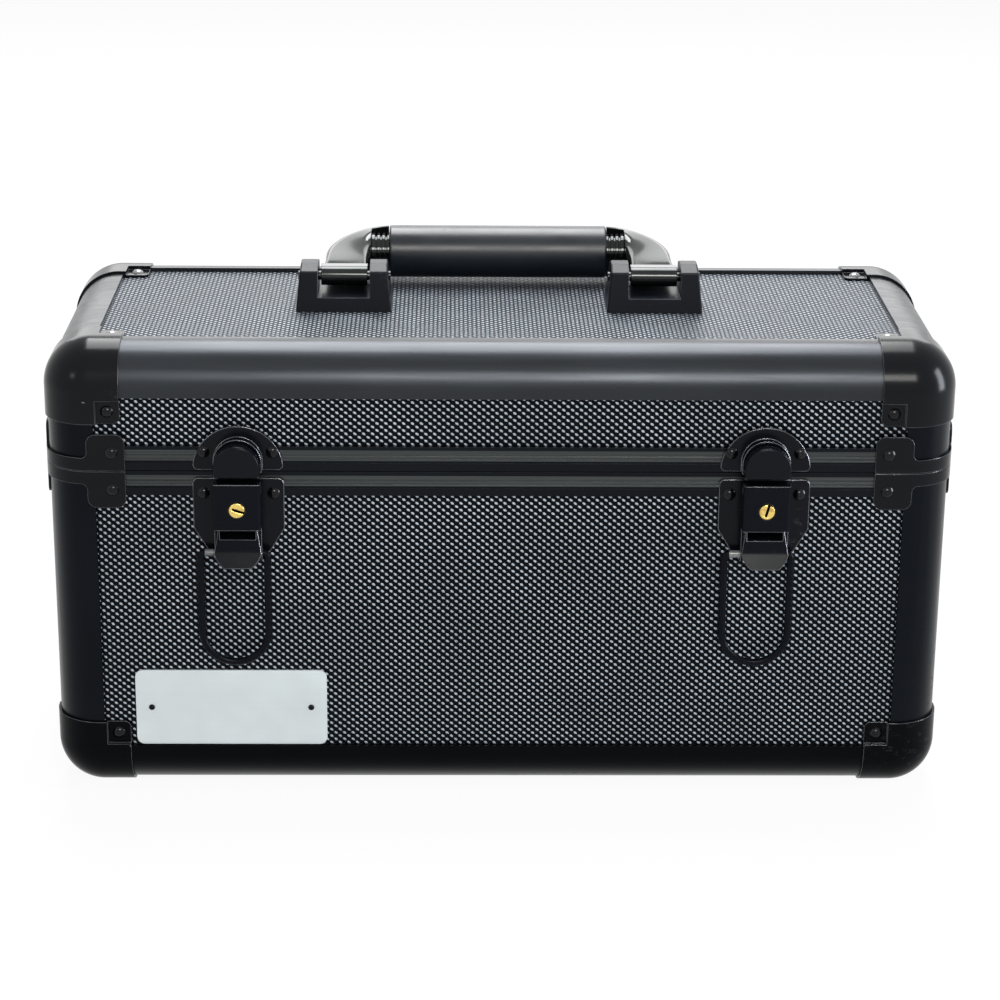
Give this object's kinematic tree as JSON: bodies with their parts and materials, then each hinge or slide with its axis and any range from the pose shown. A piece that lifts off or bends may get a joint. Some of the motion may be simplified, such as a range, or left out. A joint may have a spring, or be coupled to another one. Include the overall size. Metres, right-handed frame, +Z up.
{
  "type": "graded card case",
  "caption": "Oblong framed case with a hinged lid, steel corner caps, key-locked lever latches with wire bails, a folding carry handle and a foam-lined bay for cards.",
  "frame": {"origin": "on the surface that the case stands on, under the middle of its frame", "axes": "+X along the case to its right as seen from the front, +Y to the back with the hinges, +Z up; the latches face -Y"},
  "size_m": [0.3446, 0.1624, 0.1988],
  "materials": {
    "textured_panel": "black laminate embossed with small raised diamonds",
    "black_extrusion": "satin black anodised extrusion",
    "black_steel": "semi-gloss black over pressed steel",
    "dark_rivet": "gloss black domed rivet",
    "name_plate_metal": "brushed aluminium plate, left bare",
    "latch_steel": "satin black plated steel",
    "bail_wire": "blackened steel wire with bright worn ends",
    "pin_steel": "bright steel",
    "lock_brass": "polished brass",
    "bracket_metal": "satin black die casting",
    "arm_metal": "gloss black plated die casting",
    "grip_plastic": "satin black moulding",
    "foam": "dark grey closed-cell foam"
  },
  "bodies": {
    "case_base": {"base_bottom_panel": "textured_panel", "base_front_panel": "textured_panel", "base_back_panel": "textured_panel", "base_left_panel": "textured_panel", "base_right_panel": "textured_panel", "base_corner_posts": "black_extrusion", "base_bottom_rails": "black_extrusion", "base_valance_rails": "black_extrusion", "base_cap_front_left": "black_steel", "base_cap_front_right": "black_steel", "base_cap_back_left": "black_steel", "base_cap_back_right": "black_steel", "base_corner_braces": "black_steel", "base_rivets": "dark_rivet", "name_plate": "name_plate_metal", "name_plate_pins": "name_plate_metal", "latch_left_base_plate": "latch_steel", "latch_left_hinge_pin": "pin_steel", "latch_right_base_plate": "latch_steel", "latch_right_hinge_pin": "pin_steel", "hinge_base_leaves": "black_steel", "hinge_pins": "pin_steel", "foam_floor_pad": "foam", "foam_front_wall": "foam", "foam_back_wall": "foam", "foam_left_wall": "foam", "foam_right_wall": "foam", "foam_divider_left": "foam", "foam_divider_right": "foam"},
    "lid": {"lid_top_panel": "textured_panel", "lid_front_panel": "textured_panel", "lid_back_panel": "textured_panel", "lid_left_panel": "textured_panel", "lid_right_panel": "textured_panel", "lid_corner_posts": "black_extrusion", "lid_top_rails": "black_extrusion", "lid_valance_rails": "black_extrusion", "lid_cap_front_left": "black_steel", "lid_cap_front_right": "black_steel", "lid_cap_back_left": "black_steel", "lid_cap_back_right": "black_steel", "lid_corner_braces": "black_steel", "lid_rivets": "dark_rivet", "latch_left_keeper": "latch_steel", "latch_right_keeper": "latch_steel", "handle_bracket_left": "bracket_metal", "handle_bracket_right": "bracket_metal", "handle_pins": "pin_steel", "hinge_lid_leaves": "black_steel", "foam_lid_pad": "foam"},
    "handle": {"handle_arm_left": "arm_metal", "handle_arm_right": "arm_metal", "handle_grip": "grip_plastic", "handle_core": "arm_metal"},
    "lever_left": {"latch_left_lever": "latch_steel"},
    "bail_left": {"latch_left_bail": "bail_wire"},
    "key_left": {"latch_left_key_plug": "lock_brass"},
    "lever_right": {"latch_right_lever": "latch_steel"},
    "bail_right": {"latch_right_bail": "bail_wire"},
    "key_right": {"latch_right_key_plug": "lock_brass"}
  },
  "joints": [
    {"name": "lid_hinge", "type": "hinge", "parent": "case_base", "child": "lid", "pos_m": [0, 0.0756, 0.13135], "axis": [-1, 0, 0], "range_deg": [0, 95]},
    {"name": "handle_hinge", "type": "hinge", "parent": "lid", "child": "handle", "pos_m": [0, 0.0015, 0.1881], "axis": [1, 0, 0], "range_deg": [0, 178]},
    {"name": "lever_left_hinge", "type": "hinge", "parent": "case_base", "child": "lever_left", "pos_m": [-0.0979, -0.0776, 0.12645], "axis": [1, 0, 0], "range_deg": [-100, 0]},
    {"name": "bail_left_swing", "type": "hinge", "parent": "lever_left", "child": "bail_left", "pos_m": [-0.0999, -0.0746, 0.10065], "axis": [-1, 0, 0], "range_deg": [0, 177.35]},
    {"name": "key_left_turn", "type": "hinge", "parent": "lever_left", "child": "key_left", "pos_m": [-0.0979, -0.0815, 0.11985], "axis": [0, 1, 0], "range_deg": [0, 90]},
    {"name": "lever_right_hinge", "type": "hinge", "parent": "case_base", "child": "lever_right", "pos_m": [0.0987, -0.0776, 0.12645], "axis": [1, 0, 0], "range_deg": [-100, 0]},
    {"name": "bail_right_swing", "type": "hinge", "parent": "lever_right", "child": "bail_right", "pos_m": [0.0967, -0.0746, 0.10065], "axis": [-1, 0, 0], "range_deg": [0, 177.35]},
    {"name": "key_right_turn", "type": "hinge", "parent": "lever_right", "child": "key_right", "pos_m": [0.0987, -0.0815, 0.11985], "axis": [0, 1, 0], "range_deg": [0, 90]}
  ]
}
